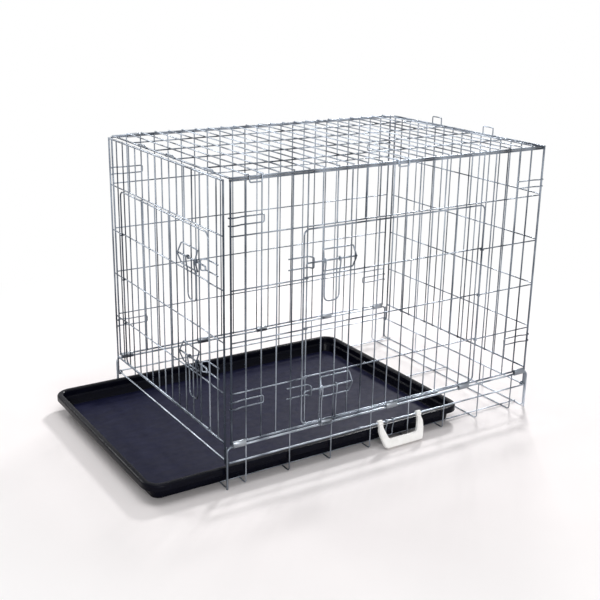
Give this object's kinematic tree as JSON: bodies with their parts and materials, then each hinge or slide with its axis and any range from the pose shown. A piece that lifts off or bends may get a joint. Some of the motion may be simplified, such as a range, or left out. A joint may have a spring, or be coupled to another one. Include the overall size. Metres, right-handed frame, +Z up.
{
  "type": "wire dog crate",
  "caption": "Folding wire dog crate with a side door and an end door, slide-bolt latches, hinged lid, pull-out pan, carry handle and closing loop.",
  "frame": {"origin": "on the floor under the centre of the cage", "axes": "+X along the crate towards its closed end, -Y the front with the side door, +Z up"},
  "size_m": [1.0973, 0.6642, 0.7272],
  "materials": {
    "wire": "zinc plated",
    "clips": "zinc plated sheet",
    "pan": "moulded, fine grain",
    "handle": "moulded, smooth"
  },
  "bodies": {
    "base": {"base_front_rim": "wire", "base_back_rim": "wire", "base_mid_rail": "wire", "base_cross_wires": "wire", "base_floor_wires": "wire", "base_pan_stops": "wire", "front_base_clips": "clips", "back_base_clips": "clips"},
    "front_panel": {"front_panel_rails": "wire", "front_panel_uprights": "wire", "front_panel_rows": "wire", "front_panel_corner_hooks": "wire", "front_door_keepers": "wire", "front_door_hinge_eyes": "wire"},
    "front_door": {"front_door_frame": "wire", "front_door_uprights": "wire", "front_door_rows": "wire", "front_door_brackets": "wire"},
    "left_end": {"left_end_rails": "wire", "left_end_curls": "wire", "left_end_uprights": "wire", "left_end_rows": "wire", "left_door_keepers": "wire", "left_door_hinge_eyes": "wire"},
    "left_door": {"left_door_frame": "wire", "left_door_uprights": "wire", "left_door_rows": "wire", "left_door_brackets": "wire"},
    "right_end": {"right_end_rails": "wire", "right_end_curls": "wire", "right_end_uprights": "wire", "right_end_rows": "wire"},
    "back_panel": {"back_panel_rails": "wire", "back_panel_uprights": "wire", "back_panel_rows": "wire", "back_panel_corner_hooks": "wire"},
    "lid_clips": {"lid_hinge_clips": "clips"},
    "lid": {"lid_rails": "wire", "lid_cross_wires": "wire", "lid_long_wires": "wire", "lid_front_hooks": "wire", "lid_end_loops": "wire"},
    "pan": {"pan_tray": "pan"},
    "carry_handle": {"carry_handle": "handle"},
    "closing_loop": {"closing_loop": "wire"},
    "front_door_lower_bolt": {"front_door_lower_bolt": "wire"},
    "front_door_lower_pull": {"front_door_lower_bolt_pull": "wire"},
    "front_door_upper_bolt": {"front_door_upper_bolt": "wire"},
    "front_door_upper_pull": {"front_door_upper_bolt_pull": "wire"},
    "left_door_lower_bolt": {"left_door_lower_bolt": "wire"},
    "left_door_lower_pull": {"left_door_lower_bolt_pull": "wire"},
    "left_door_upper_bolt": {"left_door_upper_bolt": "wire"},
    "left_door_upper_pull": {"left_door_upper_bolt_pull": "wire"}
  },
  "joints": [
    {"name": "front_panel_fold", "type": "hinge", "parent": "base", "child": "front_panel", "pos_m": [0, -0.315, 0.1104], "axis": [-1, 0, 0], "range_deg": [0, 92.3]},
    {"name": "back_panel_fold", "type": "hinge", "parent": "base", "child": "back_panel", "pos_m": [0, 0.315, 0.1104], "axis": [1, 0, 0], "range_deg": [0, 88]},
    {"name": "left_end_fold", "type": "hinge", "parent": "base", "child": "left_end", "pos_m": [-0.45, 0, 0.064], "axis": [0, 1, 0], "range_deg": [0, 89.6]},
    {"name": "right_end_fold", "type": "hinge", "parent": "base", "child": "right_end", "pos_m": [0.45, 0, 0.064], "axis": [0, -1, 0], "range_deg": [0, 91]},
    {"name": "lid_clip_turn", "type": "hinge", "parent": "back_panel", "child": "lid_clips", "pos_m": [0, 0.315, 0.70075], "axis": [-1, 0, 0], "range_deg": [0, 193.6]},
    {"name": "lid_open", "type": "hinge", "parent": "lid_clips", "child": "lid", "pos_m": [0, 0.3049, 0.70555], "axis": [-1, 0, 0], "range_deg": [0, 76.4]},
    {"name": "front_door_swing", "type": "hinge", "parent": "front_panel", "child": "front_door", "pos_m": [0.25702, -0.31815, 0], "axis": [0, 0, -1], "range_deg": [-165, 0]},
    {"name": "left_door_swing", "type": "hinge", "parent": "left_end", "child": "left_door", "pos_m": [-0.4577, 0.23539, 0], "axis": [0, 0, 1], "range_deg": [-165, 0]},
    {"name": "front_door_lower_bolt_slide", "type": "slide", "parent": "front_door", "child": "front_door_lower_bolt", "axis": [1, 0, 0], "range_m": [0, 0.025]},
    {"name": "front_door_lower_pull_swing", "type": "hinge", "parent": "front_door_lower_bolt", "child": "front_door_lower_pull", "pos_m": [0, -0.32255, 0.19837], "axis": [1, 0, 0], "range_deg": [-100, 0]},
    {"name": "left_door_lower_bolt_slide", "type": "slide", "parent": "left_door", "child": "left_door_lower_bolt", "axis": [0, 1, 0], "range_m": [0, 0.025]},
    {"name": "left_door_lower_pull_swing", "type": "hinge", "parent": "left_door_lower_bolt", "child": "left_door_lower_pull", "pos_m": [-0.4621, 0, 0.26637], "axis": [0, -1, 0], "range_deg": [-100, 0]},
    {"name": "front_door_upper_bolt_slide", "type": "slide", "parent": "front_door", "child": "front_door_upper_bolt", "axis": [1, 0, 0], "range_m": [0, 0.025]},
    {"name": "front_door_upper_pull_swing", "type": "hinge", "parent": "front_door_upper_bolt", "child": "front_door_upper_pull", "pos_m": [0, -0.32255, 0.50251], "axis": [1, 0, 0], "range_deg": [-100, 0]},
    {"name": "left_door_upper_bolt_slide", "type": "slide", "parent": "left_door", "child": "left_door_upper_bolt", "axis": [0, 1, 0], "range_m": [0, 0.025]},
    {"name": "left_door_upper_pull_swing", "type": "hinge", "parent": "left_door_upper_bolt", "child": "left_door_upper_pull", "pos_m": [-0.4621, 0, 0.50251], "axis": [0, -1, 0], "range_deg": [-100, 0]},
    {"name": "pan_slide", "type": "slide", "parent": "base", "child": "pan", "axis": [1, 0, 0], "range_m": [-0.235, 0.212]},
    {"name": "carry_handle_swing", "type": "hinge", "parent": "base", "child": "carry_handle", "pos_m": [0, -0.3145, 0.064], "axis": [1, 0, 0], "range_deg": [-120, 0]},
    {"name": "closing_loop_swing", "type": "hinge", "parent": "base", "child": "closing_loop", "pos_m": [0, -0.3145, 0.064], "axis": [1, 0, 0], "range_deg": [-150, 0]}
  ],
  "couplings": [
    {"joint": "lid_clip_turn", "follows": "back_panel_fold", "ratio": 2.2}
  ]
}
